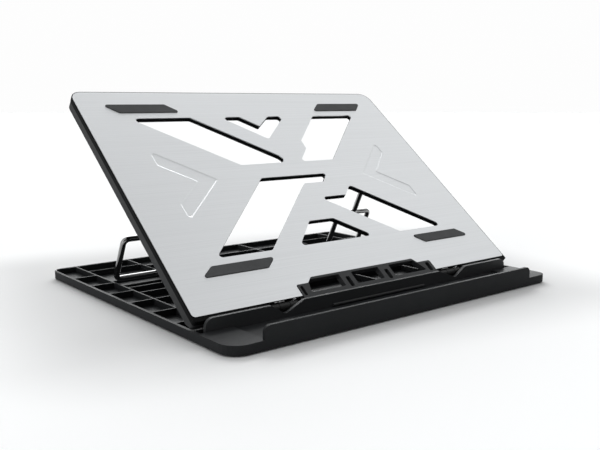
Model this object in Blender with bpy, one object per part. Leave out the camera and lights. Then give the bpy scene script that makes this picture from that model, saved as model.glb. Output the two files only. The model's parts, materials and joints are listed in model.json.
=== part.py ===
"""Passive laptop cooling stand: a slotted aluminium plate, hinged on a base, held up by two wire stands.

Frame: +X right, +Y to the rear, +Z up. The origin is under the centre of the base, on the table.
Lengths are in millimetres and turned into metres where geometry is made.
"""
import math

import bmesh
import bpy
from mathutils import Matrix, Vector

MM = 0.001
GAP = 0.3                      # left between pieces that touch

# ---- Driving dimensions --------------------------------------------------------------------------
BASE_WIDTH = 370.0
BASE_DEPTH = 320.0
BASE_HEIGHT = 7.3              # the base's side, without its feet
FOOT_HEIGHT = 1.2              # how far the rubber feet stand out below the base
PLATE_TILT = 38.36             # degrees, as set up for use
PLATE_LENGTH = 263.6           # up the slope
SKIN_WIDTH = 366.9
HINGE_Y = -108.0
HINGE_Z = 11.0 + FOOT_HEIGHT
SHEET_EDGE_Y = -108.96         # front edge of the sheet's upper face
SHEET_EDGE_Z = 17.44 + FOOT_HEIGHT

# ---- Base ----------------------------------------------------------------------------------------
BASE_LOW = FOOT_HEIGHT
BASE_TOP = BASE_LOW + BASE_HEIGHT
FLOOR_TOP = BASE_LOW + 1.8
RIM = 2.6
RIB = 1.6
FOOT_PATH_TOP = BASE_LOW + 4.4  # ribs that the stands' feet pass over end here
FRONT_LEFT_CORNER = 15.0
FRONT_RIGHT_CORNER = 10.0
REAR_CORNER = 12.0
DECK_TOP = BASE_LOW + 5.5
DECK_REAR = -117.5
TRAY_HALF = 154.0
TRAY_CORNER = 2.0
LIP_TOP = BASE_LOW + 17.8
LIP_HALF = 156.0
LIP_THICKNESS = 2.8
LIP_CORNER = 5.0
RIB_XS = (38.0, 103.0, 160.0)
CELLS_FRONT = -107.0
CENTRE_RIB_YS = (-82.0, -42.0, -2.0, 38.0, 78.0, 120.0)
FOOT_PATH_HALF = 28.0
FOOT_PATH_FRONT = 54.0
FOOT_PATH_REAR = 127.8
SLOT_RIB_YS = (-82.0, -44.0, -6.0, 21.0, 43.0, 65.0, 87.5, 128.0)
SIDE_RIB_YS = (-82.0, -44.0, -6.0, 32.0, 70.0, 108.0)

# ---- Hinge cover ---------------------------------------------------------------------------------
COVER_FRONT = -117.0
COVER_THICKNESS = 3.0
COVER_LEFT = -178.0
COVER_RIGHT = 174.3
COVER_TOP = BASE_LOW + 17.0
NOTCH_BOTTOM = BASE_LOW + 8.2
LEFT_NOTCH = ((-118.0, 3.0), (-104.0, 5.0), (-84.5, 8.0))    # x and fillet of shoulder, bottom, shoulder
RIGHT_NOTCH = ((77.0, 3.0), (99.5, 5.0), (114.0, 3.0))
COVER_END_FILLET = 7.0
LEDGE_HALF = 55.0
LEDGE_RADIUS = 1.2

# ---- Plate layers, as depths below the sheet's upper face ----------------------------------------
SKIN = 1.0
FRAME_SEAT = SKIN + GAP
FRAME_LOW = 4.7
SKIRT_TOP = FRAME_LOW + GAP
SKIRT_FLANGE = 7.0
SKIRT_LOW = 12.0
SKIRT_WALL = 2.4
SKIRT_FLANGE_WIDTH = 14.0
SKIRT_TAPER = ((-6.0, 7.7), (4.6, 12.6), (-6.0, 12.6))    # (s, depth) corners cut off the skirt's front
FRAME_MARGIN = 0.75            # the frame stands out this far round the sheet
SKIRT_MARGIN = 0.45
FRAME_FRONT = -4.2             # the frame's nose, ahead of the sheet's front edge
SKIRT_FRONT = -3.9
INSERT_FRONT = -3.6
CHEVRON_DEPTH = 0.45
CHEVRON_SLOPE = 1.2            # width of the recess's sloping sides
PAD_PROUD = 0.8
PAD_SHRINK = 0.4
INSERT_PROUD = 0.4

# ---- Wire stands ---------------------------------------------------------------------------------
WIRE_RADIUS = 2.75
STAND_X = 131.0
LOOP_HALF = 23.0
LOOP_CORNER = 5.5
STAND_LENGTH = 114.6           # pivot to foot bar
LOOP_LENGTH = 45.2
STAND_ANGLE = -63.7            # degrees, direction of the stand from its pivot, against +Y
PIVOT_S = 165.5
PIVOT_DEPTH = 12.0
PIVOT_BAR_HALF = 14.6
CLIP_START = 7.0               # the clips' extent outwards from the stand's centre line
SADDLE_END = 15.0
FLANGE_END = 24.0
CLIP_HALF = 5.5                # along the slope
CLIP_WALL = 1.8                # under the pivot bar
CLIP_FLANGE = 2.0              # thickness

# ---- Fasteners and hinges ------------------------------------------------------------------------
HINGE_X = 100.0
HINGE_ROOM_HALF = 16.0         # along the axis, each side of a hinge's middle
HINGE_ROOM_REAR = 5.5          # s
LEAF_THICKNESS = 1.6
BARREL_RADIUS = 4.0
PIN_RADIUS = 1.8
PIN_BORE = 1.86
SCREW_HEAD = 2.7
SCREW_HEAD_HEIGHT = 1.5
SCREW_SHANK = 1.25
SCREW_HOLE = 1.6
ROUND_STEPS = 20
HOLE_STEPS = 10


# ---- Outlines (x, s) on the sheet, each corner with its fillet radius ----------------------------
WINDOWS = {
    "left_bar": [(-140.2, 225.5, 3), (-76, 225.5, 4), (7.5, 156, 5.5), (-55, 156, 6)],
    "top_check": [(-42.9, 225.5, 3), (-19.5, 225.5, 2), (-2.5, 210.8, 1), (16, 225.5, 2), (37, 225.5, 3),
                  (-2.5, 190.8, 3)],
    "right_bar": [(77, 225.5, 4), (135, 225.5, 2.5), (59, 156, 5), (16.5, 156, 2.5), (35.3, 174.5, 2),
                  (36.3, 186.5, 2)],
    "lower_left_bar": [(-42.7, 137, 4), (37, 137, 1.8), (25.5, 125.5, 2), (1.5, 125.5, 3), (-80.5, 51, 4),
                       (-136.7, 51, 2.5)],
    "lower_right_bar": [(6.8, 105.75, 3), (41.2, 105.75, 2), (54.6, 118.1, 4), (135, 51, 3), (73.3, 51, 6)],
    "lower_centre": [(-23, 78, 3), (5.5, 78, 4), (37.8, 51, 2.5), (-50.5, 51, 2.5)],
}
PADS = {
    "pad_rear_left": [(-160, 245.5, 2), (-96, 245.5, 3), (-82, 233, 2), (-146.5, 233, 3)],
    "pad_rear_right": [(160, 245.5, 2), (96, 245.5, 3), (82, 233, 2), (146.5, 233, 3)],
    "pad_front_left": [(-145.5, 44, 3), (-82, 44, 2), (-95, 33, 3), (-159.5, 33, 2)],
    "pad_front_right": [(145.5, 44, 3), (82, 44, 2), (95, 33, 3), (159.5, 33, 2)],
}
CHEVRONS = {
    "left": [(-140, 181, 3), (-89, 139.5, 2), (-140, 94, 3), (-140, 114, 1), (-111, 139, 1), (-140, 162, 1)],
    "right": [(134.5, 178, 3), (83, 133, 2), (134.5, 92, 3), (134.5, 110, 1), (104.5, 134, 1),
              (134.5, 162, 1)],
}
INSERT_TOP = [(-80, 11.2, 2), (-67, 11.2, 0.8), (-61, 16.5, 2), (60, 16.5, 2), (64, 11.2, 0.8),
              (80.5, 11.2, 2)]
INSERT_WINDOWS = [
    [(-70, 1.2, 1), (-66, 14.3, 1), (-32, 14.3, 1), (-32, 1.2, 1)],
    [(-18, 1.2, 1), (-18, 14.3, 1), (14.5, 14.3, 1), (14.5, 1.2, 1)],
    [(28, 1.2, 1), (28, 14.3, 1), (61, 14.3, 1), (69, 1.2, 1)],
]
INSERT_SLITS = [(-78, -75.0, 9.2), (-27.2, -22.8, 10.4), (19.5, 24, 10.4), (72.3, 77, 9.2)]    # x0, x1, top
SLIT_LOW = -0.8
SLIT_CORNER = 1.4


# ---- Helpers -------------------------------------------------------------------------------------
def clear_scene():
    for existing in list(bpy.data.objects):
        bpy.data.objects.remove(existing, do_unlink=True)


def new_collection(name):
    collection = bpy.data.collections.new(name)
    bpy.context.scene.collection.children.link(collection)
    return collection


def new_material(name, colour, roughness, metallic=0.0):
    material = bpy.data.materials.new(name)
    material.use_nodes = True
    shader = material.node_tree.nodes["Principled BSDF"]
    shader.inputs["Base Color"].default_value = (*colour, 1.0)
    shader.inputs["Roughness"].default_value = roughness
    shader.inputs["Metallic"].default_value = metallic
    material.diffuse_color = (*colour, 1.0)
    return material


def fillet(corners, steps=3):
    """Corner list (x, y, radius) to a closed outline, with an arc at every corner."""
    outline = []
    count = len(corners)
    for index, (x, y, radius) in enumerate(corners):
        corner = Vector((x, y))
        before = (Vector(corners[index - 1][:2]) - corner)
        after = (Vector(corners[(index + 1) % count][:2]) - corner)
        if radius <= 0:
            outline.append(corner)
            continue
        half_angle = before.angle(after) / 2
        tangent = radius / math.tan(half_angle)
        bisector = (before.normalized() + after.normalized()).normalized()
        centre = corner + bisector * radius / math.sin(half_angle)
        start = corner + before.normalized() * tangent - centre
        end = corner + after.normalized() * tangent - centre
        sweep = start.angle_signed(end)
        for step in range(steps + 1):
            turned = start.copy()
            turned.rotate(Matrix.Rotation(-sweep * step / steps, 2))
            outline.append(centre + turned)
    return outline


def signed_area(points):
    return sum(a[0] * b[1] - b[0] * a[1] for a, b in zip(points, points[1:] + points[:1])) / 2


def offset(corners, distance):
    """Sharp corner list moved outwards; a fillet grows on an outer corner and shrinks on an inner one."""
    turn = 1 if signed_area(corners) > 0 else -1
    moved = []
    count = len(corners)
    for index, (x, y, radius) in enumerate(corners):
        corner = Vector((x, y))
        incoming = (corner - Vector(corners[index - 1][:2])).normalized()
        outgoing = (Vector(corners[(index + 1) % count][:2]) - corner).normalized()
        normal_in = Vector((incoming.y, -incoming.x)) * turn
        normal_out = Vector((outgoing.y, -outgoing.x)) * turn
        bisector = (normal_in + normal_out).normalized()
        place = corner + bisector * distance / bisector.dot(normal_in)
        convex = turn * (incoming.x * outgoing.y - incoming.y * outgoing.x) > 0
        new_radius = radius + distance if convex else radius - distance
        moved.append((place.x, place.y, max(new_radius, 0.4)))
    return moved


def circle(x, y, radius, steps=ROUND_STEPS):
    turns = (2 * math.pi * k / steps for k in range(steps))
    return [Vector((x + radius * math.cos(turn), y + radius * math.sin(turn))) for turn in turns]


def rectangle(x0, x1, y0, y1, radius=0.0):
    return [(x0, y0, radius), (x1, y0, radius), (x1, y1, radius), (x0, y1, radius)]


def link(obj, material, collection, parent):
    collection.objects.link(obj)
    if material:
        obj.data.materials.append(material)
    if parent:
        obj.parent = parent
    return obj


def as_cutter(obj):
    obj.hide_render = True
    obj.display_type = "WIRE"
    return obj


def evaluated_mesh(name, obj):
    """The mesh a temporary object evaluates to, welded and with its faces pointing out."""
    bpy.context.view_layer.update()
    mesh = bpy.data.meshes.new_from_object(obj.evaluated_get(bpy.context.evaluated_depsgraph_get()))
    mesh.name = name
    shape = bmesh.new()
    shape.from_mesh(mesh)
    bmesh.ops.remove_doubles(shape, verts=shape.verts, dist=1e-6)
    bmesh.ops.recalc_face_normals(shape, faces=shape.faces)
    shape.to_mesh(mesh)
    shape.free()
    mesh.materials.clear()
    return mesh


def drawn_mesh(name, outlines, half_height, bevel=0.0):
    """Flat outlines filled and extruded both ways; a bevel widens the middle of the rim by that much."""
    curve = bpy.data.curves.new(name, "CURVE")
    curve.dimensions = "2D"
    curve.fill_mode = "BOTH"
    curve.extrude = half_height * MM
    curve.bevel_depth = bevel * MM
    curve.bevel_resolution = 0
    for loop in outlines:
        spline = curve.splines.new("POLY")
        spline.points.add(len(loop) - 1)
        for point, place in zip(spline.points, loop):
            point.co = (place[0] * MM, place[1] * MM, 0.0, 1.0)
        spline.use_cyclic_u = True
    drawn = bpy.data.objects.new(name + "_outline", curve)
    bpy.context.scene.collection.objects.link(drawn)
    mesh = evaluated_mesh(name, drawn)
    bpy.data.objects.remove(drawn)
    return mesh


def slab(name, outlines, low, high, material=None, collection=None, parent=None, matrix=None):
    """One or more separate flat outlines, extruded from low to high along the local Z axis."""
    mesh = drawn_mesh(name, outlines, (high - low) / 2)
    mesh.transform(Matrix.Translation((0, 0, (low + high) / 2 * MM)))
    if matrix:
        mesh.transform(matrix)
    return link(bpy.data.objects.new(name, mesh), material, collection or parts, parent)


def box(name, low, high, material=None, collection=None, parent=None):
    shape = bmesh.new()
    bmesh.ops.create_cube(shape, size=1.0)
    size = Vector(high) - Vector(low)
    centre = (Vector(high) + Vector(low)) / 2
    bmesh.ops.scale(shape, vec=size * MM, verts=shape.verts)
    bmesh.ops.translate(shape, vec=centre * MM, verts=shape.verts)
    mesh = bpy.data.meshes.new(name)
    shape.to_mesh(mesh)
    shape.free()
    return link(bpy.data.objects.new(name, mesh), material, collection or parts, parent)


def rod(name, start, end, radius, steps=ROUND_STEPS, material=None, collection=None, parent=None,
        end_radius=None):
    shape = bmesh.new()
    run = Vector(end) - Vector(start)
    turn = run.to_track_quat("Z", "Y").to_matrix().to_4x4()
    bmesh.ops.create_cone(shape, cap_ends=True, segments=steps, radius1=radius * MM,
                          radius2=(radius if end_radius is None else end_radius) * MM, depth=run.length * MM)
    shape.transform(Matrix.Translation((Vector(start) + run / 2) * MM) @ turn)
    mesh = bpy.data.meshes.new(name)
    shape.to_mesh(mesh)
    shape.free()
    mesh.shade_smooth()
    mesh.set_sharp_from_angle(angle=math.radians(40))
    return link(bpy.data.objects.new(name, mesh), material, collection or parts, parent)


def combine(target, tool, operation):
    """Boolean of two objects, kept as a modifier; the tool becomes a cutter."""
    modifier = target.modifiers.new(operation.lower() + "_" + tool.name, "BOOLEAN")
    modifier.operation = operation
    modifier.object = tool
    as_cutter(tool)
    for collection in list(tool.users_collection):
        collection.objects.unlink(tool)
    cutters.objects.link(tool)


def joined_boxes(name, boxes, parent=None):
    """One cutter made of several separate boxes."""
    shape = bmesh.new()
    for low, high in boxes:
        made = bmesh.ops.create_cube(shape, size=1.0)["verts"]
        bmesh.ops.scale(shape, vec=(Vector(high) - Vector(low)) * MM, verts=made)
        bmesh.ops.translate(shape, vec=(Vector(high) + Vector(low)) / 2 * MM, verts=made)
    mesh = bpy.data.meshes.new(name)
    shape.to_mesh(mesh)
    shape.free()
    return link(bpy.data.objects.new(name, mesh), None, cutters, parent)


def joined_rods(name, rods, parent=None, steps=HOLE_STEPS):
    """One cutter made of several separate cylinders (start, end, radius)."""
    shape = bmesh.new()
    for start, end, radius in rods:
        run = Vector(end) - Vector(start)
        place = (Matrix.Translation((Vector(start) + run / 2) * MM)
                 @ run.to_track_quat("Z", "Y").to_matrix().to_4x4())
        bmesh.ops.create_cone(shape, cap_ends=True, segments=steps, radius1=radius * MM, radius2=radius * MM,
                              depth=run.length * MM, matrix=place)
    mesh = bpy.data.meshes.new(name)
    shape.to_mesh(mesh)
    shape.free()
    return link(bpy.data.objects.new(name, mesh), None, cutters, parent)


def empty(name, place, angle, parent=None):
    marker = bpy.data.objects.new(name, None)
    parts.objects.link(marker)
    marker.location = Vector(place) * MM
    marker.rotation_euler = (math.radians(angle), 0, 0)
    if parent:
        marker.parent = parent
    return marker


# Something drawn in the (Y, Z) plane and extruded along X
SIDEWAYS = Matrix(((0, 0, 1, 0), (1, 0, 0, 0), (0, 1, 0, 0), (0, 0, 0, 1)))


def upright(y):
    """For something drawn in the (X, Z) plane, whose front face is at y."""
    return Matrix.Translation((0, y * MM, 0)) @ Matrix.Rotation(math.pi / 2, 4, "X")


# ---- Plate coordinates: x, s up the slope and depth below the sheet, seen from the hinge axis ----
def sheet_edge_from_hinge():
    tilt = math.radians(PLATE_TILT)
    across = Vector((SHEET_EDGE_Y - HINGE_Y, SHEET_EDGE_Z - HINGE_Z))
    along = across.x * math.cos(tilt) + across.y * math.sin(tilt)
    up = -across.x * math.sin(tilt) + across.y * math.cos(tilt)
    return along, up


EDGE_S, EDGE_UP = sheet_edge_from_hinge()


def on_plate(x, s, depth):
    """Point in the plate axis' local frame."""
    return Vector((x, EDGE_S + s, EDGE_UP - depth))


def plate_slab(name, outlines, top, bottom, material=None, collection=None):
    """Slab in the plate's plane between two depths below the sheet's upper face."""
    shifted = [[(p[0], p[1] + EDGE_S) for p in loop] for loop in outlines]
    return slab(name, shifted, EDGE_UP - bottom, EDGE_UP - top, material, collection, plate)


def cut_plate(target, name, outlines, top, bottom):
    combine(target, plate_slab(name, outlines, top, bottom, collection=cutters), "DIFFERENCE")


def sheet_outline(margin):
    """The sheet's four corners, grown by a margin, from the front left one round to the rear left one."""
    half, rear = SKIN_WIDTH / 2 + margin, PLATE_LENGTH + margin
    return [(-half, -margin, 3 + margin), (half, -margin, 2.5 + margin), (half, rear, 11 + margin),
            (-half, rear, 10 + margin)]


def shell_outline(margin, front):
    """As sheet_outline, with tight front corners at s = front."""
    half = SKIN_WIDTH / 2 + margin
    return [(-half, front, 2), (half, front, 2), *sheet_outline(margin)[2:]]


def with_notch(outline):
    """An outline with room for the vent insert in its front edge."""
    front_left, *others = outline
    notch = [(x + math.copysign(GAP, x), s + GAP, radius) for x, s, radius in INSERT_TOP]
    front = front_left[1]
    return [front_left, (notch[0][0], front, 0), *notch, (notch[-1][0], front, 0), *others]


# ---- Base ----------------------------------------------------------------------------------------
def build_base():
    half_x, half_y = BASE_WIDTH / 2, BASE_DEPTH / 2
    outline = [(-half_x, -half_y, FRONT_LEFT_CORNER), (half_x, -half_y, FRONT_RIGHT_CORNER),
               (half_x, half_y, REAR_CORNER), (-half_x, half_y, REAR_CORNER)]
    base = slab("base_tray", [fillet(outline, 6)], BASE_LOW, BASE_TOP, black_plastic)

    lip = slab("lip", [fillet([(-LIP_HALF, BASE_LOW + 1, 0), (LIP_HALF, BASE_LOW + 1, 0),
                               (LIP_HALF, LIP_TOP, LIP_CORNER), (-LIP_HALF, LIP_TOP, LIP_CORNER)], 6)],
               -LIP_THICKNESS, 0, matrix=upright(-half_y))
    combine(base, lip, "UNION")

    tray_front = LIP_THICKNESS - half_y
    tray = [(-TRAY_HALF, tray_front, TRAY_CORNER), (TRAY_HALF, tray_front, TRAY_CORNER),
            (TRAY_HALF, DECK_REAR, 0), (-TRAY_HALF, DECK_REAR, 0)]
    combine(base, slab("front_tray", [fillet(tray, 6)], DECK_TOP, BASE_TOP + 1, collection=cutters),
            "DIFFERENCE")
    trench = ((-half_x + RIM, DECK_REAR, FLOOR_TOP), (half_x - RIM, CELLS_FRONT - RIB, BASE_TOP + 1))
    under = [((x0, -152, BASE_LOW - 1), (x1, -122, DECK_TOP - 2))
             for x0, x1 in ((-172, -90), (-86, -2), (2, 86), (90, 172))]
    combine(base, joined_boxes("trench_and_underside", [trench, *under]), "DIFFERENCE")
    combine(base, joined_boxes("rib_cells", rib_cells()), "DIFFERENCE")
    rooms = [((side * HINGE_X - 18, DECK_REAR + 1, FLOOR_TOP), (side * HINGE_X + 18, -85, BASE_TOP + 1))
             for side in (-1, 1)]
    combine(base, joined_boxes("hinge_rooms", rooms), "DIFFERENCE")

    path = [((side * STAND_X - FOOT_PATH_HALF, FOOT_PATH_FRONT, FOOT_PATH_TOP),
             (side * STAND_X + FOOT_PATH_HALF, FOOT_PATH_REAR, BASE_TOP + 1)) for side in (-1, 1)]
    combine(base, joined_boxes("stand_foot_paths", path), "DIFFERENCE")
    seats = [((x, y, BASE_LOW - 1), (x, y, BASE_LOW + 1.1), FOOT_RADIUS + GAP) for _, x, y in FEET]
    combine(base, joined_rods("foot_seats", seats, steps=ROUND_STEPS), "DIFFERENCE")
    seats = [((x, COVER_BOSS_Y, BASE_LOW - 1), (x, COVER_BOSS_Y, BASE_LOW + COVER_SCREW_SEAT),
              SCREW_HEAD + GAP) for x in COVER_BOSS_XS]
    combine(base, joined_rods("cover_screw_seats", seats, steps=ROUND_STEPS), "DIFFERENCE")
    holes = [((x, COVER_BOSS_Y, BASE_LOW - 1), (x, COVER_BOSS_Y, BASE_TOP + 1), SCREW_HOLE)
             for x in COVER_BOSS_XS]
    holes += [((x, HINGE_SCREW_Y, FLOOR_TOP - 1.2), (x, HINGE_SCREW_Y, FLOOR_TOP + 1), SCREW_HOLE)
              for x in hinge_screw_xs()]
    combine(base, joined_rods("base_holes", holes), "DIFFERENCE")
    return base


def rib_cells():
    """Pockets between the ribs of the base's rear part."""
    half_x, rear = BASE_WIDTH / 2 - RIM, BASE_DEPTH / 2 - RIM
    inner, slot, outer = RIB_XS
    columns = [(-inner, inner, CENTRE_RIB_YS)]
    for side in (-1, 1):
        columns.append((*sorted((side * inner, side * slot)), CENTRE_RIB_YS))
        columns.append((*sorted((side * slot, side * outer)), SLOT_RIB_YS))
        columns.append((*sorted((side * outer, side * (half_x + RIB / 2))), SIDE_RIB_YS))
    boxes = []
    for left, right, ribs in columns:
        edges = [CELLS_FRONT - RIB / 2, *ribs, rear + RIB / 2]
        for front, back in zip(edges, edges[1:]):
            boxes.append(((left + RIB / 2, front + RIB / 2, FLOOR_TOP),
                          (right - RIB / 2, back - RIB / 2, BASE_TOP + 1)))
    return boxes


FOOT_RADIUS = 7.0
FEET = [("foot_front_left", -160, -138), ("foot_front_right", 160, -138), ("foot_middle_left", -160, 10),
        ("foot_middle_right", 160, 10), ("foot_rear_left", -160, 142), ("foot_rear_right", 160, 142)]
COVER_BOSS_XS = (-146.0, 0.0, 146.0)
COVER_BOSS_Y = -112.6
COVER_BOSS_TOP = BASE_LOW + 7.4
COVER_SCREW_SEAT = 0.9         # depth of the screw heads' seats in the base's underside
HINGE_SCREW_Y = -93.0


def hinge_screw_xs():
    return [side * HINGE_X + step for side in (-1, 1) for step in (-11, 11)]


def build_feet():
    for name, x, y in FEET:
        rod(name, (x, y, 0), (x, y, BASE_LOW + 0.8), FOOT_RADIUS, material=rubber)


def build_hinge_cover():
    notches = []
    for corners in (LEFT_NOTCH, RIGHT_NOTCH):
        heights = (COVER_TOP, NOTCH_BOTTOM, COVER_TOP)
        notches += [(x, height, fillet_radius) for (x, fillet_radius), height in zip(corners, heights)]
    face = [(COVER_LEFT, FLOOR_TOP + GAP, 0), (COVER_RIGHT, FLOOR_TOP + GAP, 0),
            (COVER_RIGHT, COVER_TOP, COVER_END_FILLET), *reversed(notches),
            (COVER_LEFT, COVER_TOP, COVER_END_FILLET)]
    cover = slab("hinge_cover", [fillet(face, 5)], -COVER_THICKNESS, 0, satin_plastic,
                 matrix=upright(COVER_FRONT))
    rear = COVER_FRONT + COVER_THICKNESS
    for number, x in enumerate(COVER_BOSS_XS):
        combine(cover, box(f"cover_boss_{number}", (x - 4, rear - 1, FLOOR_TOP + GAP),
                           (x + 4, rear + 4.4, COVER_BOSS_TOP)), "UNION")
    ledge = Vector((0, COVER_FRONT - 0.5, DECK_TOP + 1.8))
    half = Vector((LEDGE_HALF, 0, 0))
    combine(cover, rod("cover_ledge", ledge - half, ledge + half, LEDGE_RADIUS, 12), "UNION")
    holes = [((x, COVER_BOSS_Y, FLOOR_TOP - 1), (x, COVER_BOSS_Y, COVER_BOSS_TOP - 1), SCREW_HOLE)
             for x in COVER_BOSS_XS]
    combine(cover, joined_rods("cover_holes", holes), "DIFFERENCE")
    for side, x in zip(("left", "centre", "right"), COVER_BOSS_XS):
        screw(f"cover_screw_{side}", (x, COVER_BOSS_Y, BASE_LOW + COVER_SCREW_SEAT - GAP), (0, 0, 1), 5.6)


# ---- Screws --------------------------------------------------------------------------------------
def screw(name, seat, direction, length, parent=None):
    """Pan-head screw: its head's underside is at seat, its shank runs along direction, a cross drives it."""
    seat, direction = Vector(seat), Vector(direction)
    top = seat - direction * SCREW_HEAD_HEIGHT
    head = rod(name, top, seat, SCREW_HEAD * 0.8, 12, steel, parent=parent, end_radius=SCREW_HEAD)
    shank = rod(name + "_shank", seat - direction * 0.5, seat + direction * length, SCREW_SHANK, 8,
                parent=parent)
    combine(head, shank, "UNION")
    spin = direction.to_track_quat("Z", "Y")
    for number, (wide, deep) in enumerate(((2.6, 0.6), (0.6, 2.6))):
        slot = box(f"{name}_slot_{number}", (-wide / 2, -deep / 2, -1), (wide / 2, deep / 2, 0.7),
                   parent=parent)
        slot.data.transform(Matrix.Translation(top * MM) @ spin.to_matrix().to_4x4())
        combine(head, slot, "DIFFERENCE")
    return head


# ---- Plate ---------------------------------------------------------------------------------------
SKIRT_SCREWS = [("rear_left", -175.5, 250), ("rear_centre", 0, 256), ("rear_right", 175.5, 250),
                ("mid_left", -175.5, 137), ("mid_right", 175.5, 137), ("front_left", -175.5, 22),
                ("front_right", 175.5, 22)]
PLATE_LEAF_S = 18.0
CLIP_SCREW_X = 19.5


def window_outlines():
    return [fillet(corners) for corners in WINDOWS.values()]


def insert_windows():
    loops = [fillet(corners, 2) for corners in INSERT_WINDOWS]
    loops += [fillet(rectangle(x0, x1, SLIT_LOW, top, SLIT_CORNER), 3) for x0, x1, top in INSERT_SLITS]
    return loops


def sloped_recess(name, corners):
    """Cutter for a shallow recess in the sheet, whose sides slope in to a flat floor."""
    floor = [(p.x, p.y + EDGE_S) for p in fillet(offset(corners, -CHEVRON_SLOPE), 3)]
    mesh = drawn_mesh(name, [floor], CHEVRON_SLOPE, CHEVRON_SLOPE)
    flatten = CHEVRON_DEPTH / CHEVRON_SLOPE
    lift = Matrix.Translation((0, 0, (EDGE_UP + CHEVRON_DEPTH) * MM))
    mesh.transform(lift @ Matrix.Diagonal((1, 1, flatten, 1)))
    return link(bpy.data.objects.new(name, mesh), None, cutters, plate)


def build_skin():
    skin = plate_slab("plate_skin", [fillet(with_notch(sheet_outline(0)), 6)], 0, SKIN, aluminium)
    pads = [fillet(offset(corners, GAP - PAD_SHRINK)) for corners in PADS.values()]
    cut_plate(skin, "skin_windows", window_outlines() + pads, -1, SKIN + 1)
    for side, corners in CHEVRONS.items():
        combine(skin, sloped_recess(f"chevron_{side}", corners), "DIFFERENCE")


def build_frame():
    outline = with_notch(shell_outline(FRAME_MARGIN, FRAME_FRONT))
    frame = plate_slab("plate_frame", [fillet(outline, 6)], 0.1, FRAME_LOW, black_plastic)
    cut_plate(frame, "frame_windows", window_outlines(), -1, FRAME_LOW + 1)
    cut_plate(frame, "skin_seat", [fillet(sheet_outline(GAP), 6)], -1, FRAME_SEAT)
    rooms = [(on_plate(side * HINGE_X - HINGE_ROOM_HALF, FRAME_FRONT - 3, FRAME_LOW + 1),
              on_plate(side * HINGE_X + HINGE_ROOM_HALF, HINGE_ROOM_REAR, -2)) for side in (-1, 1)]
    combine(frame, joined_boxes("frame_hinge_rooms", rooms, plate), "DIFFERENCE")
    places = [(x, s) for _, x, s in SKIRT_SCREWS]
    places += [(x, PLATE_LEAF_S) for x in hinge_screw_xs()]
    places += [(x, PIVOT_S) for x in clip_screw_xs()]
    holes = [(on_plate(x, s, SKIN), on_plate(x, s, FRAME_LOW + 1), SCREW_HOLE) for x, s in places]
    combine(frame, joined_rods("frame_screw_holes", holes, plate), "DIFFERENCE")


def build_back():
    """Skirt round the underside: a flange against the frame, and a wall that tapers away at the front."""
    half, rear = SKIN_WIDTH / 2 + SKIRT_MARGIN, PLATE_LENGTH + SKIRT_MARGIN
    outline = fillet(shell_outline(SKIRT_MARGIN, SKIRT_FRONT), 6)
    back = plate_slab("plate_back", [outline], SKIRT_TOP, SKIRT_LOW, grey_plastic)
    front = SKIRT_FRONT + SKIRT_WALL
    half_open = half - SKIRT_FLANGE_WIDTH
    opening = fillet(rectangle(-half_open, half_open, front, rear - SKIRT_FLANGE_WIDTH, 3), 3)
    cut_plate(back, "skirt_opening", [opening], SKIRT_TOP - 1, SKIRT_LOW + 1)
    half_inside = half - SKIRT_WALL
    inside = fillet(rectangle(-half_inside, half_inside, front + 0.01, rear - SKIRT_WALL, 7), 5)
    cut_plate(back, "skirt_inside", [inside], SKIRT_FLANGE, SKIRT_LOW + 1)
    wedge = [(EDGE_S + s, EDGE_UP - depth) for s, depth in SKIRT_TAPER]
    taper = slab("skirt_taper", [wedge], -half - 2, half + 2, collection=cutters, parent=plate,
                 matrix=SIDEWAYS)
    combine(back, taper, "DIFFERENCE")
    room = (on_plate(-HINGE_X - HINGE_ROOM_HALF, FRAME_FRONT - 3, SKIRT_LOW + 1),
            on_plate(HINGE_X + HINGE_ROOM_HALF, HINGE_ROOM_REAR, SKIRT_TOP - 1))
    combine(back, box("skirt_hinge_room", *room, collection=cutters, parent=plate), "DIFFERENCE")
    holes = [(on_plate(x, s, SKIRT_TOP - 1), on_plate(x, s, SKIRT_FLANGE + 1), SCREW_HOLE)
             for _, x, s in SKIRT_SCREWS]
    combine(back, joined_rods("back_screw_holes", holes, plate), "DIFFERENCE")
    for label, x, s in SKIRT_SCREWS:
        screw(f"back_screw_{label}", on_plate(x, s, SKIRT_FLANGE + GAP), (0, 0, 1), 5.0, plate)


def build_insert_and_pads():
    left, right = INSERT_TOP[0][0], INSERT_TOP[-1][0]
    outline = [(left, INSERT_FRONT, 0.6), *INSERT_TOP, (right, INSERT_FRONT, 0.6)]
    insert = plate_slab("vent_insert", [fillet(outline, 3)], -INSERT_PROUD, FRAME_LOW - 0.1, satin_plastic)
    cut_plate(insert, "insert_windows", insert_windows(), -2, FRAME_LOW + 1)
    for name, corners in PADS.items():
        plate_slab(name, [fillet(offset(corners, -PAD_SHRINK))], -PAD_PROUD, SKIN, rubber)


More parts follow.
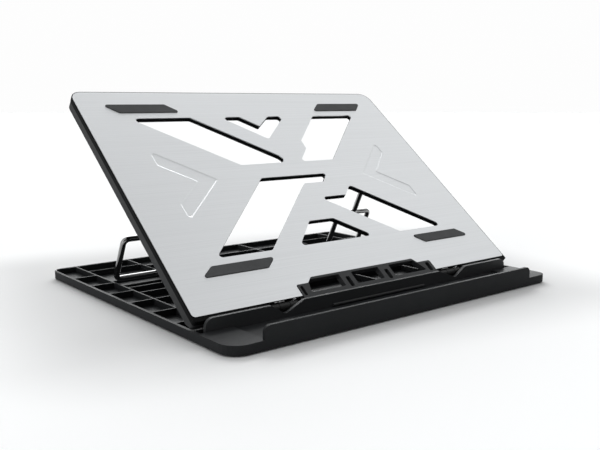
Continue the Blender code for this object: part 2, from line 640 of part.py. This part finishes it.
# ---- Hinges --------------------------------------------------------------------------------------
def build_hinge(side_name, side):
    """Two leaves on a pin: the base leaf's barrel is the middle knuckle, the plate leaf has the outer two."""
    x = side * HINGE_X
    low, high = x - 13.5, x + 13.5

    def on_axis(start, end, radius, name):
        return rod(f"{name}_{side_name}", (start, HINGE_Y, HINGE_Z), (end, HINGE_Y, HINGE_Z), radius)

    base_leaf = box(f"hinge_base_leaf_{side_name}", (low - 2, -112.5, FLOOR_TOP + GAP),
                    (high + 2, -88, FLOOR_TOP + GAP + LEAF_THICKNESS), black_steel)
    post = box(f"base_leaf_post_{side_name}", (x - 5, HINGE_Y - 3.2, FLOOR_TOP + 1),
               (x + 5, HINGE_Y + 3.2, HINGE_Z))
    combine(base_leaf, post, "UNION")
    combine(base_leaf, on_axis(x - 5, x + 5, BARREL_RADIUS, "base_barrel"), "UNION")
    combine(base_leaf, on_axis(x - 6, x + 6, PIN_BORE, "base_leaf_bore"), "DIFFERENCE")
    holes = [((x + step, HINGE_SCREW_Y, FLOOR_TOP - 1), (x + step, HINGE_SCREW_Y, FLOOR_TOP + 3), SCREW_HOLE)
             for step in (-11, 11)]
    combine(base_leaf, joined_rods(f"base_leaf_holes_{side_name}", holes), "DIFFERENCE")

    leaf_top, leaf_low = SKIRT_TOP, SKIRT_TOP + LEAF_THICKNESS
    plate_leaf = box(f"hinge_plate_leaf_{side_name}", on_plate(low, -EDGE_S, leaf_low),
                     on_plate(high, 25, leaf_top), black_steel, parent=plate)
    for number, (x0, x1) in enumerate(((low, x - 5.5), (x + 5.5, high))):
        barrel = rod(f"plate_barrel_{side_name}_{number}", (x0, 0, 0), (x1, 0, 0), BARREL_RADIUS,
                     parent=plate)
        combine(plate_leaf, barrel, "UNION")
    room = box(f"plate_leaf_room_{side_name}", (x - 5.5, -6, -8), (x + 5.5, 6.5, 6), parent=plate)
    combine(plate_leaf, room, "DIFFERENCE")
    combine(plate_leaf, rod(f"plate_leaf_bore_{side_name}", (low - 1, 0, 0), (high + 1, 0, 0), PIN_BORE,
                            parent=plate), "DIFFERENCE")
    holes = [(on_plate(x + step, PLATE_LEAF_S, leaf_top - 1), on_plate(x + step, PLATE_LEAF_S, leaf_low + 1),
              SCREW_HOLE) for step in (-11, 11)]
    combine(plate_leaf, joined_rods(f"plate_leaf_holes_{side_name}", holes, plate), "DIFFERENCE")

    rod(f"hinge_pin_{side_name}", (x - 14.5, HINGE_Y, HINGE_Z), (x + 14.5, HINGE_Y, HINGE_Z), PIN_RADIUS,
        material=steel)
    for place, step in (("outer", 11 * side), ("inner", -11 * side)):
        screw(f"base_leaf_screw_{side_name}_{place}",
              (x + step, HINGE_SCREW_Y, FLOOR_TOP + LEAF_THICKNESS + 2 * GAP), (0, 0, -1), 3.0)
        screw(f"plate_leaf_screw_{side_name}_{place}",
              on_plate(x + step, PLATE_LEAF_S, leaf_low + GAP), (0, 0, 1), 4.6, plate)


# ---- Wire stands and their clips -----------------------------------------------------------------
def clip_screw_xs():
    return [side * STAND_X + step for side in (-1, 1) for step in (-CLIP_SCREW_X, CLIP_SCREW_X)]


def build_stand(side_name, side):
    """Foot loop, stem and pivot bar of bent and welded wire; local +Y runs from the pivot to the foot."""
    axis = empty(f"stand_axis_{side_name}", on_plate(side * STAND_X, PIVOT_S, PIVOT_DEPTH),
                 STAND_ANGLE - PLATE_TILT, plate)
    near = STAND_LENGTH - LOOP_LENGTH
    loop = fillet([(-LOOP_HALF, near, LOOP_CORNER), (LOOP_HALF, near, LOOP_CORNER),
                   (LOOP_HALF, STAND_LENGTH, LOOP_CORNER), (-LOOP_HALF, STAND_LENGTH, LOOP_CORNER)], 4)
    curve = bpy.data.curves.new(f"loop_{side_name}", "CURVE")
    curve.dimensions = "3D"
    curve.bevel_depth = WIRE_RADIUS * MM
    curve.bevel_resolution = 3
    spline = curve.splines.new("POLY")
    spline.points.add(len(loop) - 1)
    for point, place in zip(spline.points, loop):
        point.co = (place.x * MM, place.y * MM, 0.0, 1.0)
    spline.use_cyclic_u = True
    drawn = bpy.data.objects.new(f"loop_{side_name}", curve)
    bpy.context.scene.collection.objects.link(drawn)
    mesh = evaluated_mesh(f"stand_{side_name}", drawn)
    bpy.data.objects.remove(drawn)
    mesh.shade_smooth()
    stand = link(bpy.data.objects.new(f"stand_{side_name}", mesh), chrome, parts, axis)
    combine(stand, rod(f"stem_{side_name}", (0, 0, 0), (0, near, 0), WIRE_RADIUS, 12, parent=axis), "UNION")
    pivot_bar = rod(f"pivot_bar_{side_name}", (-PIVOT_BAR_HALF, 0, 0), (PIVOT_BAR_HALF, 0, 0), WIRE_RADIUS,
                    parent=axis)
    combine(stand, pivot_bar, "UNION")


def build_clips(side_name, side):
    """A saddle on each side of the stem, screwed to the frame, holds the pivot bar."""
    top, low = SKIRT_TOP, PIVOT_DEPTH + WIRE_RADIUS + CLIP_WALL
    front, rear = PIVOT_S - CLIP_HALF, PIVOT_S + CLIP_HALF
    for place, step in (("outer", side), ("inner", -side)):
        x = side * STAND_X
        label = f"{side_name}_{place}"
        saddle_x = sorted((x + step * CLIP_START, x + step * SADDLE_END))
        flange_x = sorted((x + step * CLIP_START, x + step * FLANGE_END))
        clip = box(f"stand_clip_{label}", on_plate(saddle_x[0], front, low), on_plate(saddle_x[1], rear, top),
                   satin_plastic, parent=plate)
        flange = box(f"clip_flange_{label}", on_plate(flange_x[0], front, top + CLIP_FLANGE),
                     on_plate(flange_x[1], rear, top), parent=plate)
        combine(clip, flange, "UNION")
        bore = rod(f"clip_bore_{label}", on_plate(saddle_x[0] - 1, PIVOT_S, PIVOT_DEPTH),
                   on_plate(saddle_x[1] + 1, PIVOT_S, PIVOT_DEPTH), WIRE_RADIUS + 0.1, parent=plate)
        combine(clip, bore, "DIFFERENCE")
        screw_x = x + step * CLIP_SCREW_X
        hole = rod(f"clip_hole_{label}", on_plate(screw_x, PIVOT_S, top - 1),
                   on_plate(screw_x, PIVOT_S, top + 3), SCREW_HOLE, HOLE_STEPS, parent=plate)
        combine(clip, hole, "DIFFERENCE")
        screw(f"clip_screw_{label}", on_plate(screw_x, PIVOT_S, top + CLIP_FLANGE + GAP), (0, 0, 1), 5.0,
              plate)


clear_scene()
parts = new_collection("laptop_cooling_stand")
cutters = new_collection("cutters")
black_plastic = new_material("black_plastic", (0.020, 0.021, 0.023), 0.55)
grey_plastic = new_material("grey_plastic", (0.050, 0.052, 0.056), 0.6)
satin_plastic = new_material("satin_plastic", (0.014, 0.015, 0.017), 0.4)
aluminium = new_material("brushed_aluminium", (0.72, 0.73, 0.74), 0.35, 1.0)
rubber = new_material("rubber", (0.07, 0.072, 0.076), 0.85)
chrome = new_material("chrome", (0.80, 0.80, 0.81), 0.08, 1.0)
steel = new_material("zinc_steel", (0.42, 0.42, 0.43), 0.35, 1.0)
black_steel = new_material("black_steel", (0.03, 0.03, 0.032), 0.45)

plate = empty("plate_axis", (0, HINGE_Y, HINGE_Z), PLATE_TILT)
build_base()
build_feet()
build_hinge_cover()
build_skin()
build_frame()
build_back()
build_insert_and_pads()
for side_name, side in (("left", -1), ("right", 1)):
    build_hinge(side_name, side)
    build_stand(side_name, side)
    build_clips(side_name, side)
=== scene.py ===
"""Looks of the laptop cooling stand: brushed sheet, moulded plastics, rubber, chrome wire and zinc steel."""
import json
import math

import bmesh
import bpy
from mathutils import Matrix, Vector


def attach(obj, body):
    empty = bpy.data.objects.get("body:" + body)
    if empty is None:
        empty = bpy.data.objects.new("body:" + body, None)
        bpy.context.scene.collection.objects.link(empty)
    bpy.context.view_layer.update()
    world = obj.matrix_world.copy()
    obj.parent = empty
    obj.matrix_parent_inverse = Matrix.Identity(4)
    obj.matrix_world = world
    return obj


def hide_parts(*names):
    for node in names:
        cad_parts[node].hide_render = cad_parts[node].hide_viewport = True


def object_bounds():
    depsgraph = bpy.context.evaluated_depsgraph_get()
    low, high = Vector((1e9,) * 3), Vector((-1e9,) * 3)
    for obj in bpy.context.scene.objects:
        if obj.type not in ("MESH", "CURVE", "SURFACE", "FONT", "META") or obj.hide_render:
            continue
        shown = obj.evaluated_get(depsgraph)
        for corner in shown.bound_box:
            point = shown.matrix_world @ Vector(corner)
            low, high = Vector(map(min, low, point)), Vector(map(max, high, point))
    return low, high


MM = 0.001

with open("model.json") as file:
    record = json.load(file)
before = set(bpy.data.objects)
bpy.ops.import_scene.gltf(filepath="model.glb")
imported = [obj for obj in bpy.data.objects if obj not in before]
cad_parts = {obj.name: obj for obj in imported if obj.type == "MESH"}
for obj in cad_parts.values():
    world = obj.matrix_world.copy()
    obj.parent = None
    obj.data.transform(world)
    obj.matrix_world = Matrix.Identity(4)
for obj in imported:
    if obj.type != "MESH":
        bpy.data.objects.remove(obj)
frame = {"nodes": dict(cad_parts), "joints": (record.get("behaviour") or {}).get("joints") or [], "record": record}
cad_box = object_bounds()


# ---- Camera and stage ----------------------------------------------------------------------------
CAMERA_PLACE = Vector((-465.0, -582.2, 174.4)) * MM
CAMERA_YAW = 38.89             # degrees to the right of +Y
CAMERA_DOWN = 9.11             # degrees
LENS = 46.4
SENSOR_WIDTH = 36.0
CLIP_START = 10 * MM


def build_camera():
    camera = bpy.data.objects.new("camera", bpy.data.cameras.new("camera"))
    camera.data.lens = LENS
    camera.data.sensor_width = SENSOR_WIDTH
    camera.data.clip_start = CLIP_START
    camera.location = CAMERA_PLACE
    camera.rotation_euler = (math.radians(90 - CAMERA_DOWN), 0, math.radians(-CAMERA_YAW))
    bpy.context.scene.collection.objects.link(camera)
    bpy.context.scene.camera = camera


# What the object sees around it, as (direction, cosines from the rim to the full strength, radiance), each
# over the ones before: the ceiling, dark areas to the right front and behind the camera, a softbox on the
# left, a dimmer patch above the rear, softboxes on the right and behind, and two even areas that the sheet
# mirrors. WALLS is the radiance everywhere else, and BACKDROP what the camera sees directly.
WALLS = 0.72
SURROUNDINGS = (((0, 0, 1), (0.20, 0.80), 0.78),
                ((0.85, -0.50, 0.00), (0.50, 0.90), 0.15),
                ((-0.62, -0.77, 0.10), (0.60, 0.92), 0.10),
                ((-0.95, 0.10, 0.15), (0.80, 0.97), 1.28),
                ((0.22, 0.42, 0.88), (0.90, 0.98), 0.45),
                ((0.80, 0.57, 0.20), (0.92, 0.98), 4.20),
                ((0.40, 0.75, 0.52), (0.90, 0.975), 6.00),
                ((0.46, 0.05, 0.90), (0.88, 0.98), 0.675),
                ((0.80, 0.00, 0.60), (0.86, 0.98), 1.05))
BACKDROP = 0.985
SKY_TINT = (0.985, 0.995, 1.0)


def build_world():
    world = bpy.data.worlds.new("studio")
    world.use_nodes = True
    tree = world.node_tree
    direction = tree.nodes.new("ShaderNodeTexCoord").outputs["Generated"]
    radiance = None
    for centre, (rim, full), value in SURROUNDINGS:
        along = tree.nodes.new("ShaderNodeVectorMath")
        along.operation = "DOT_PRODUCT"
        along.inputs[1].default_value = Vector(centre).normalized()
        tree.links.new(direction, along.inputs[0])
        share = tree.nodes.new("ShaderNodeMapRange")
        share.interpolation_type = "SMOOTHSTEP"
        share.inputs["From Min"].default_value = rim
        share.inputs["From Max"].default_value = full
        tree.links.new(along.outputs["Value"], share.inputs["Value"])
        mix = tree.nodes.new("ShaderNodeMix")
        mix.inputs["A"].default_value = WALLS
        mix.inputs["B"].default_value = value
        tree.links.new(share.outputs["Result"], mix.inputs["Factor"])
        if radiance:
            tree.links.new(radiance, mix.inputs["A"])
        radiance = mix.outputs["Result"]
    lit = tree.nodes["Background"]
    lit.inputs["Color"].default_value = (*SKY_TINT, 1)
    tree.links.new(radiance, lit.inputs["Strength"])
    seen = tree.nodes.new("ShaderNodeBackground")
    seen.inputs["Color"].default_value = (BACKDROP, BACKDROP, BACKDROP, 1)
    choice = tree.nodes.new("ShaderNodeMixShader")
    tree.links.new(tree.nodes.new("ShaderNodeLightPath").outputs["Is Camera Ray"], choice.inputs["Fac"])
    tree.links.new(lit.outputs["Background"], choice.inputs[1])
    tree.links.new(seen.outputs["Background"], choice.inputs[2])
    tree.links.new(choice.outputs["Shader"], tree.nodes["World Output"].inputs["Surface"])
    bpy.context.scene.world = world


# A soft shadow is painted into the floor's colour round the object: darkest inside a box that is turned a
# little (centre and half size along its own axes, in mm), and less and less from there out to SHADE_REACH.
SHADE_TURN = 12.0              # degrees
SHADE_CENTRE = (-8.5, 10.0)
SHADE_HALF = (208.5, 155.0)
SHADE_REACH = 115.0
FLOOR_NEAR, FLOOR_FAR = 0.755, 0.96    # the floor's whiteness in its painted shadow and outside it
FLOOR_ROUGHNESS = 0.60
FLOOR_RADIUS = 12.0            # metres


def paint_floor_shadow(tree, colour):
    """Feeds the floor's whiteness, with a painted soft shadow from its distance to the shadowed box, to a colour
    socket.
    """
    turn = tree.nodes.new("ShaderNodeMapping")
    turn.inputs["Rotation"].default_value = (0, 0, math.radians(SHADE_TURN))
    tree.links.new(tree.nodes.new("ShaderNodeTexCoord").outputs["Object"], turn.inputs["Vector"])
    place = turn.outputs["Vector"]
    for operation, values in (("SUBTRACT", SHADE_CENTRE), ("ABSOLUTE", None), ("SUBTRACT", SHADE_HALF),
                              ("MAXIMUM", (0, 0)), ("LENGTH", None)):
        step = tree.nodes.new("ShaderNodeVectorMath")
        step.operation = operation
        tree.links.new(place, step.inputs[0])
        if values:
            step.inputs[1].default_value = (values[0] * MM, values[1] * MM, 0)
        place = step.outputs["Value" if operation == "LENGTH" else "Vector"]
    shade = tree.nodes.new("ShaderNodeMapRange")
    shade.interpolation_type = "SMOOTHSTEP"
    shade.inputs["From Max"].default_value = SHADE_REACH * MM
    shade.inputs["To Min"].default_value = FLOOR_NEAR
    shade.inputs["To Max"].default_value = FLOOR_FAR
    tree.links.new(place, shade.inputs["Value"])
    tree.links.new(shade.outputs["Result"], colour)


def build_stage():
    mesh = bpy.data.meshes.new("floor")
    shape = bmesh.new()
    bmesh.ops.create_circle(shape, cap_ends=True, segments=64, radius=FLOOR_RADIUS)
    shape.to_mesh(mesh)
    shape.free()
    floor = bpy.data.objects.new("floor", mesh)
    floor.location.z = cad_box[0].z
    bpy.context.scene.collection.objects.link(floor)
    paint = bpy.data.materials.new("floor_paint")
    paint.use_nodes = True
    shader = paint.node_tree.nodes["Principled BSDF"]
    shader.inputs["Roughness"].default_value = FLOOR_ROUGHNESS
    shader.inputs["Specular IOR Level"].default_value = 0.0
    # the floor's colour carries a painted soft shadow round the object
    paint_floor_shadow(paint.node_tree, shader.inputs["Base Color"])
    mesh.materials.append(paint)
    build_world()
    bpy.context.scene.view_settings.view_transform = "Standard"


# ---- Materials -----------------------------------------------------------------------------------
class Paint:
    """A Principled material with procedural detail in object coordinates."""

    def __init__(self, name, roughness=0.5, metallic=0.0, specular=0.5):
        self.material = bpy.data.materials.new(name)
        self.material.use_nodes = True
        self.tree = self.material.node_tree
        self.shader = self.tree.nodes["Principled BSDF"]
        self.shader.inputs["Roughness"].default_value = roughness
        self.shader.inputs["Metallic"].default_value = metallic
        self.shader.inputs["Specular IOR Level"].default_value = specular
        self.place = self.tree.nodes.new("ShaderNodeTexCoord").outputs["Object"]

    def link(self, source, target):
        self.tree.links.new(source, target)

    def noise(self, scale, detail=3.0, contrast=(0.3, 0.7)):
        """Noise from 0 to 1; scale is in cycles a metre along each axis."""
        mapping = self.tree.nodes.new("ShaderNodeMapping")
        mapping.inputs["Scale"].default_value = scale
        noise = self.tree.nodes.new("ShaderNodeTexNoise")
        noise.inputs["Scale"].default_value = 1.0
        noise.inputs["Detail"].default_value = detail
        stretch = self.tree.nodes.new("ShaderNodeMapRange")
        stretch.inputs["From Min"].default_value, stretch.inputs["From Max"].default_value = contrast
        self.link(self.place, mapping.inputs["Vector"])
        self.link(mapping.outputs["Vector"], noise.inputs["Vector"])
        self.link(noise.outputs["Fac"], stretch.inputs["Value"])
        return stretch.outputs["Result"]

    def vary_colour(self, factor, low, high):
        mix = self.tree.nodes.new("ShaderNodeMix")
        mix.data_type = "RGBA"
        mix.inputs["A"].default_value = (*low, 1)
        mix.inputs["B"].default_value = (*high, 1)
        self.link(factor, mix.inputs["Factor"])
        self.link(mix.outputs["Result"], self.shader.inputs["Base Color"])

    def vary_roughness(self, factor, low, high):
        spread = self.tree.nodes.new("ShaderNodeMapRange")
        spread.inputs["To Min"].default_value = low
        spread.inputs["To Max"].default_value = high
        self.link(factor, spread.inputs["Value"])
        self.link(spread.outputs["Result"], self.shader.inputs["Roughness"])

    def bump(self, *heights):
        """Each height is (factor, depth in mm)."""
        normal = None
        for factor, depth in heights:
            node = self.tree.nodes.new("ShaderNodeBump")
            node.inputs["Distance"].default_value = depth * MM
            self.link(factor, node.inputs["Height"])
            if normal:
                self.link(normal, node.inputs["Normal"])
            normal = node.outputs["Normal"]
        self.link(normal, self.shader.inputs["Normal"])


def grey(value, tint=0.0):
    """A neutral with a slight cool tint."""
    return (value * (1 - tint), value, value * (1 + tint))


def brushed_aluminium():
    paint = Paint("brushed_aluminium", metallic=1.0)
    streaks = paint.noise((6, 1900, 1900), 4)
    bands = paint.noise((2.0, 260, 260), 3)
    paint.vary_colour(streaks, grey(0.685, 0.015), grey(0.745, 0.015))
    paint.vary_roughness(bands, 0.36, 0.40)
    paint.bump((streaks, 0.0015))
    return paint.material


def moulded_plastic(name, low, high, roughness, grain_depth, specular):
    """Spark-eroded texture with slow changes of gloss."""
    paint = Paint(name, specular=specular)
    clouds = paint.noise((22, 22, 22), 3)
    grain = paint.noise((2600, 2600, 2600), 2)
    paint.vary_colour(clouds, low, high)
    paint.vary_roughness(clouds, roughness - 0.04, roughness + 0.05)
    paint.bump((grain, grain_depth))
    return paint.material


def rubber():
    paint = Paint("rubber", roughness=0.85, specular=0.25)
    stipple = paint.noise((1900, 1900, 1900), 2)
    wear = paint.noise((45, 45, 45), 4)
    paint.vary_colour(wear, grey(0.078, 0.02), grey(0.094, 0.02))
    paint.bump((stipple, 0.03))
    return paint.material


def chrome():
    paint = Paint("chrome", metallic=1.0)
    haze = paint.noise((120, 120, 120), 3)
    paint.vary_roughness(haze, 0.05, 0.09)
    paint.vary_colour(haze, grey(0.28), grey(0.33))
    return paint.material


def zinc_steel():
    paint = Paint("zinc_steel", metallic=1.0)
    spangle = paint.noise((420, 420, 420), 2)
    paint.vary_colour(spangle, grey(0.44), grey(0.56, 0.01))
    paint.vary_roughness(spangle, 0.30, 0.45)
    return paint.material


def black_coating():
    paint = Paint("black_coating", roughness=0.42, specular=0.3)
    grain = paint.noise((1400, 1400, 1400), 2)
    paint.vary_colour(grain, grey(0.009), grey(0.015))
    paint.bump((grain, 0.01))
    return paint.material


MATERIALS = {
    "aluminium": brushed_aluminium(),
    "black_plastic": moulded_plastic("black_plastic", grey(0.022, 0.05), grey(0.026, 0.05),
                                     roughness=0.48, grain_depth=0.02, specular=0.05),
    "grey_plastic": moulded_plastic("grey_plastic", grey(0.032, 0.03), grey(0.040, 0.03),
                                    roughness=0.55, grain_depth=0.02, specular=0.14),
    "satin_plastic": moulded_plastic("satin_plastic", grey(0.034, 0.04), grey(0.039, 0.04),
                                     roughness=0.42, grain_depth=0.006, specular=0.20),
    "rubber": rubber(),
    "chrome": chrome(),
    "steel": zinc_steel(),
    "black_steel": black_coating(),
}
# Nodes whose finish differs a little from the others of their slot
NODE_MATERIALS = {
    "plate_frame": moulded_plastic("frame_plastic", grey(0.005, 0.04), grey(0.007, 0.04),
                                   roughness=0.45, grain_depth=0.01, specular=0.02),
}
SLOT_OF = {row["node"]: row["material_slot"] for row in frame["record"]["subparts"]}


def dress(piece, slot, material=None):
    piece.data.materials.clear()
    piece.data.materials.append(material or MATERIALS[slot])


# ---- Edges of the moulded and pressed pieces -----------------------------------------------------
# Bevel width in mm by how a node's name starts; the first match counts
EDGE_WIDTHS = (("base_tray", 0.7), ("hinge_cover", 0.4), ("plate_frame", 0.12), ("plate_back", 0.5),
               ("vent_insert", 0.25), ("plate_skin", 0.12), ("pad_", 0.35), ("foot_", 0.6),
               ("stand_clip", 0.4), ("hinge_", 0.2), ("back_screw", 0.12), ("clip_screw", 0.12),
               ("cover_screw", 0.12), ("base_leaf", 0.12), ("plate_leaf", 0.12))
WELD_DISTANCE = 0.005 * MM
FLAT_ANGLE = 1.0               # degrees; faces that differ by less become one
SHARP_ANGLE = 12.0             # degrees; flatter edges are shaded smooth
BEVEL_ANGLE = 35.0             # degrees; sharper edges are bevelled


def clean_shading():
    """Node group that drops a mesh's stored normals and shades it smooth but for its sharp edges."""
    tree = bpy.data.node_groups.new("clean_shading", "GeometryNodeTree")
    tree.interface.new_socket("Geometry", in_out="INPUT", socket_type="NodeSocketGeometry")
    tree.interface.new_socket("Geometry", in_out="OUTPUT", socket_type="NodeSocketGeometry")
    drop = tree.nodes.new("GeometryNodeRemoveAttribute")
    drop.inputs["Name"].default_value = "custom_normal"
    angle = tree.nodes.new("GeometryNodeInputMeshEdgeAngle")
    sharp = tree.nodes.new("FunctionNodeCompare")
    sharp.operation = "GREATER_THAN"
    sharp.inputs["B"].default_value = math.radians(SHARP_ANGLE)
    crease = tree.nodes.new("GeometryNodeSetShadeSmooth")
    crease.domain = "EDGE"
    crease.inputs["Shade Smooth"].default_value = False
    tree.links.new(tree.nodes.new("NodeGroupInput").outputs["Geometry"], drop.inputs["Geometry"])
    tree.links.new(drop.outputs["Geometry"], crease.inputs["Geometry"])
    tree.links.new(angle.outputs["Unsigned Angle"], sharp.inputs["A"])
    tree.links.new(sharp.outputs["Result"], crease.inputs["Selection"])
    tree.links.new(crease.outputs["Geometry"], tree.nodes.new("NodeGroupOutput").inputs["Geometry"])
    return tree


CLEAN_SHADING = clean_shading()


def soften_edges(piece, width):
    weld = piece.modifiers.new("weld", "WELD")
    weld.merge_threshold = WELD_DISTANCE
    flat = piece.modifiers.new("flat", "DECIMATE")
    flat.decimate_type = "DISSOLVE"
    flat.angle_limit = math.radians(FLAT_ANGLE)
    piece.modifiers.new("clean", "NODES").node_group = CLEAN_SHADING
    bevel = piece.modifiers.new("edges", "BEVEL")
    bevel.width = width * MM
    bevel.segments = 2
    bevel.limit_method = "ANGLE"
    bevel.angle_limit = math.radians(BEVEL_ANGLE)
    bevel.use_clamp_overlap = True
    bevel.harden_normals = True


# ---- Wire stands ---------------------------------------------------------------------------------
# A stand is a pivot bar, a stem down from it and a rectangular foot loop; each hangs from its joint's pivot.
STAND_ANGLE = math.radians(-63.7)    # direction of the stem from the pivot, against +Y
STAND_DOWN = Vector((0, math.cos(STAND_ANGLE), math.sin(STAND_ANGLE)))
STAND_LENGTH = 114.6           # pivot to foot
LOOP_LENGTH = 45.2
LOOP_HALF = 23.0
LOOP_CORNER = 5.5
PIVOT_BAR_HALF = 14.6
WIRE_RADIUS = 2.75
BEAD_RADIUS = 3.3              # weld bead where the stem meets the loop and the pivot bar
BEAD_STRETCH = 1.35            # along the bars
BEAD_SHIFT = 0.8               # from the bars' centre lines towards the stem
PIVOTS = {joint["child"]: Vector(joint["pos_m"]) / MM for joint in frame["joints"]}


def tube(points, closed, sides=24):
    """Mesh of a round wire along points that lie in the plane of X and the stem."""
    mesh = bpy.data.meshes.new("tube")
    shape = bmesh.new()
    rings = []
    across = Vector((1, 0, 0)).cross(STAND_DOWN).normalized()
    for index, point in enumerate(points):
        last = index == len(points) - 1
        ahead = points[0 if closed and last else min(index + 1, len(points) - 1)]
        behind = points[index - 1 if closed or index else 0]
        along = (ahead - behind).normalized()
        side = along.cross(across).normalized()
        ring = []
        for k in range(sides):
            turn = 2 * math.pi * k / sides
            out = side * math.cos(turn) + across * math.sin(turn)
            ring.append(shape.verts.new((point + out * WIRE_RADIUS) * MM))
        rings.append(ring)
    pairs = list(zip(rings, rings[1:]))
    if closed:
        pairs.append((rings[-1], rings[0]))
    else:
        shape.faces.new(list(reversed(rings[0])))
        shape.faces.new(rings[-1])
    for near, far in pairs:
        for k in range(sides):
            shape.faces.new((near[k], near[(k + 1) % sides], far[(k + 1) % sides], far[k]))
    bmesh.ops.recalc_face_normals(shape, faces=shape.faces)
    for face in shape.faces:
        face.smooth = len(face.verts) == 4
    shape.to_mesh(mesh)
    shape.free()
    return mesh


def bend(corner, before, after, radius, steps=10):
    """Points of a round bend at a corner of a wire, between the corners before and after it."""
    to_before, to_after = (before - corner).normalized(), (after - corner).normalized()
    half = to_before.angle(to_after) / 2
    centre = corner + (to_before + to_after).normalized() * radius / math.sin(half)
    start = corner + to_before * radius / math.tan(half) - centre
    end = corner + to_after * radius / math.tan(half) - centre
    return [centre + start.slerp(end, k / steps) * radius for k in range(steps + 1)]


def straight(start, end, steps=8):
    return [start.lerp(end, k / steps) for k in range(steps + 1)]


def weld_bead(place):
    mesh = bpy.data.meshes.new("bead")
    shape = bmesh.new()
    bmesh.ops.create_uvsphere(shape, u_segments=24, v_segments=16, radius=BEAD_RADIUS * MM)
    shape.transform(Matrix.Translation(place * MM) @ Matrix.Diagonal((BEAD_STRETCH, 1, 1, 1)))
    for face in shape.faces:
        face.smooth = True
    shape.to_mesh(mesh)
    shape.free()
    return mesh


def build_stand(side):
    pivot = PIVOTS[f"stand_{side}"]
    top = pivot + STAND_DOWN * (STAND_LENGTH - LOOP_LENGTH)
    foot = pivot + STAND_DOWN * STAND_LENGTH
    loop_half = Vector((LOOP_HALF, 0, 0))
    pivot_half = Vector((PIVOT_BAR_HALF, 0, 0))
    corners = [top - loop_half, foot - loop_half, foot + loop_half, top + loop_half]
    loop = []
    for k, corner in enumerate(corners):
        loop += bend(corner, corners[k - 1], corners[(k + 1) % 4], LOOP_CORNER)
    joined = bmesh.new()
    for mesh in (tube(loop, closed=True),
                 tube(straight(pivot, top), closed=False),
                 tube([pivot - pivot_half, pivot + pivot_half], closed=False),
                 weld_bead(top - STAND_DOWN * BEAD_SHIFT),
                 weld_bead(pivot + STAND_DOWN * BEAD_SHIFT)):
        joined.from_mesh(mesh)
        bpy.data.meshes.remove(mesh)
    wire = bpy.data.meshes.new(f"stand_wire_{side}")
    joined.to_mesh(wire)
    joined.free()
    piece = bpy.data.objects.new(f"stand_wire_{side}", wire)
    bpy.context.scene.collection.objects.link(piece)
    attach(piece, f"stand_{side}")
    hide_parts(f"stand_{side}")
    dress(piece, "chrome")


build_camera()
build_stage()
for name, node in frame["nodes"].items():
    dress(node, SLOT_OF[name], NODE_MATERIALS.get(name))
    for prefix, width in EDGE_WIDTHS:
        if name.startswith(prefix):
            soften_edges(node, width)
            break
for side in ("left", "right"):
    build_stand(side)
